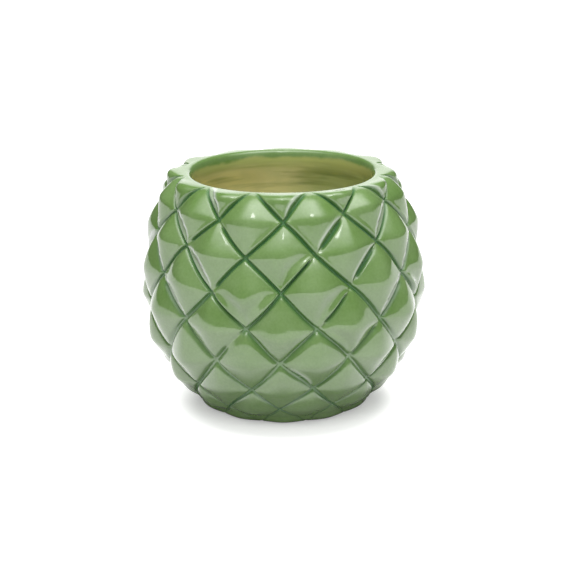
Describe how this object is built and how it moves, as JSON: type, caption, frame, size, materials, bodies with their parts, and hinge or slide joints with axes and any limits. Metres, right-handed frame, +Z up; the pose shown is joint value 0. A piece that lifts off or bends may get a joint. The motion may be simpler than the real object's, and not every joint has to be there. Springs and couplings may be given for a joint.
{
  "type": "pineapple jar",
  "caption": "Round open earthenware jar with a hand-cut diamond lattice like a pineapple's skin, green glaze outside and over the lip, and a honey glaze lining.",
  "frame": {"origin": "centre of the flat foot, on the table", "axes": "+Z up along the jar's axis, -Y towards the viewer of the picture, +X to the viewer's right"},
  "size_m": [0.1359, 0.1358, 0.1112],
  "materials": {
    "fired_clay": "matte",
    "green_glaze": "gloss",
    "honey_glaze": "gloss"
  },
  "bodies": {
    "root": {"clay_body": "fired_clay", "green_glaze": "green_glaze", "honey_glaze": "honey_glaze"}
  },
  "joints": []
}
